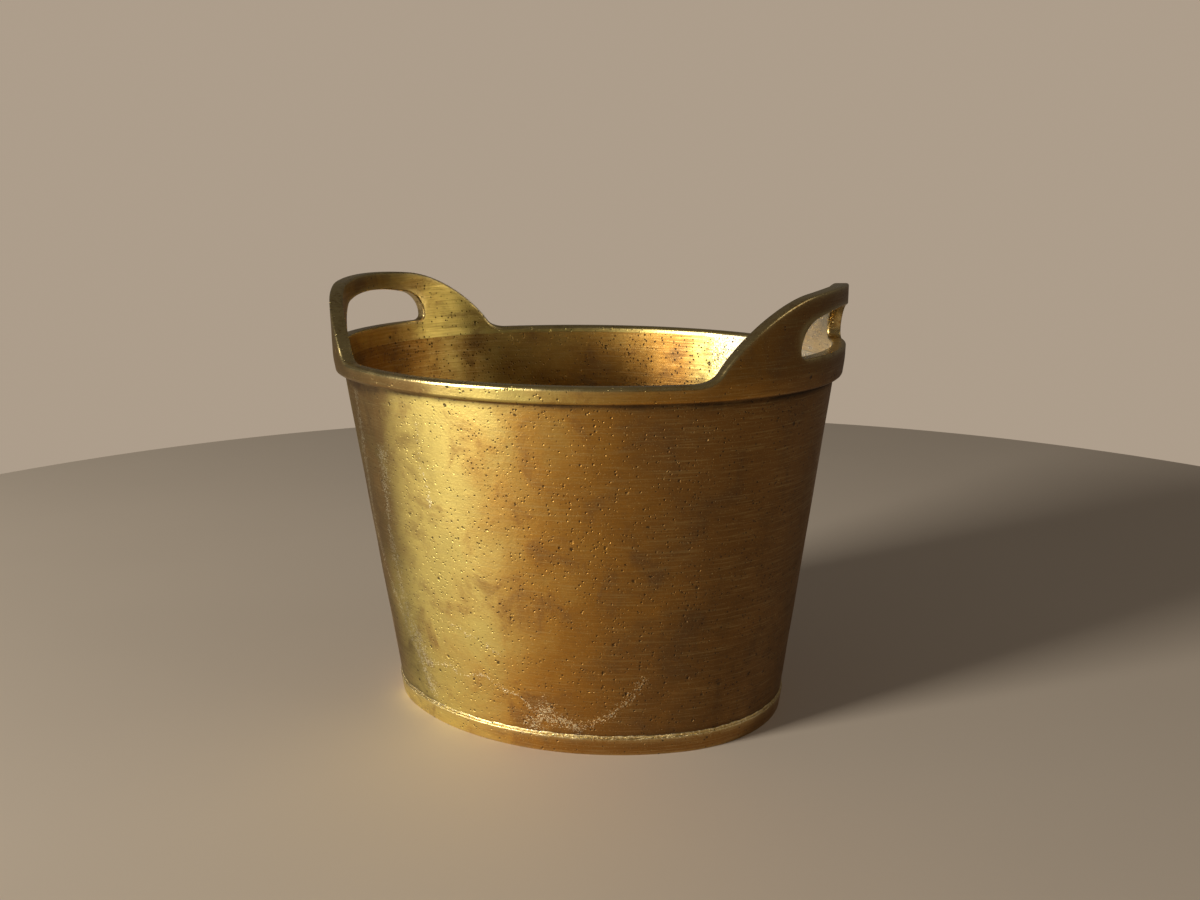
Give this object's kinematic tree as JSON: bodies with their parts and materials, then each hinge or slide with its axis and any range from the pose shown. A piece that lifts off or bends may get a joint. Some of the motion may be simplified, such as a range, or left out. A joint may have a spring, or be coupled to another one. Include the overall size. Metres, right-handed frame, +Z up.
{
  "type": "planter pot",
  "caption": "Tapered oval brass planter pot with a banded rim, upswept end handles with finger holes, a foot ring and a closed floor.",
  "frame": {"origin": "centre of the base, on the surface that the pot stands on", "axes": "+X runs along the pot's length through both handles, +Y across its width, +Z up"},
  "size_m": [0.3014, 0.249, 0.2495],
  "materials": {
    "collar_brass": "hand-rubbed antique brass with polished edges",
    "wall_brass": "brushed antique brass, pitted and scratched",
    "foot_brass": "brushed antique brass",
    "floor_brass": "dull, darkened brass",
    "braze_metal": "rough, paler brazing metal"
  },
  "bodies": {
    "root": {"handle_collar": "collar_brass", "wall_shell": "wall_brass", "foot_ring": "foot_brass", "floor_plate": "floor_brass", "collar_braze": "braze_metal", "foot_braze": "braze_metal", "floor_braze": "braze_metal"}
  },
  "joints": []
}
